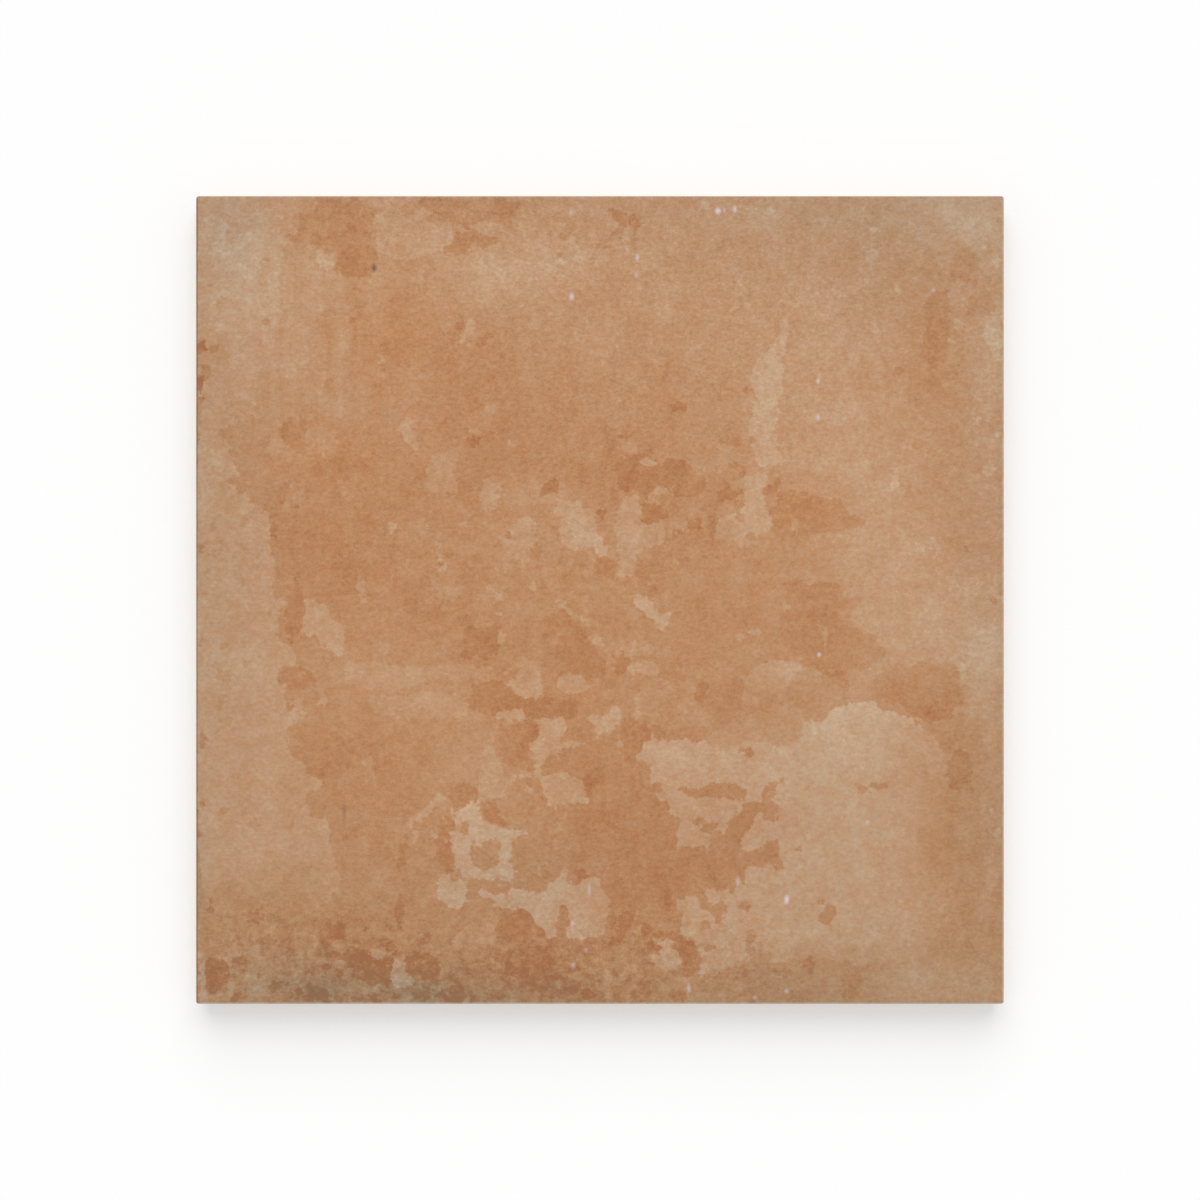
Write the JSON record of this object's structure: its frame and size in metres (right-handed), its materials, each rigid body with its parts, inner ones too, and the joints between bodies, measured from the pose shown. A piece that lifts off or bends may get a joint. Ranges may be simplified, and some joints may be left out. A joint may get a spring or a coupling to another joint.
{
  "type": "porcelain tile",
  "caption": "Square porcelain floor and wall tile with a flat matte terracotta-look face, a rounded arris, a tapered lower edge and a ribbed back that keys into adhesive.",
  "frame": {"origin": "centre of the back, in the plane of the rib tops that the tile lies or is bedded on", "axes": "+Z is square to the tile, from the ribbed back to the glazed face; +X and +Y run along the sides, +X to the right and +Y to the top of the picture"},
  "size_m": [0.2, 0.2, 0.009],
  "materials": {
    "fired_porcelain": "matte"
  },
  "bodies": {
    "root": {"porcelain_tile": "fired_porcelain"}
  },
  "joints": []
}
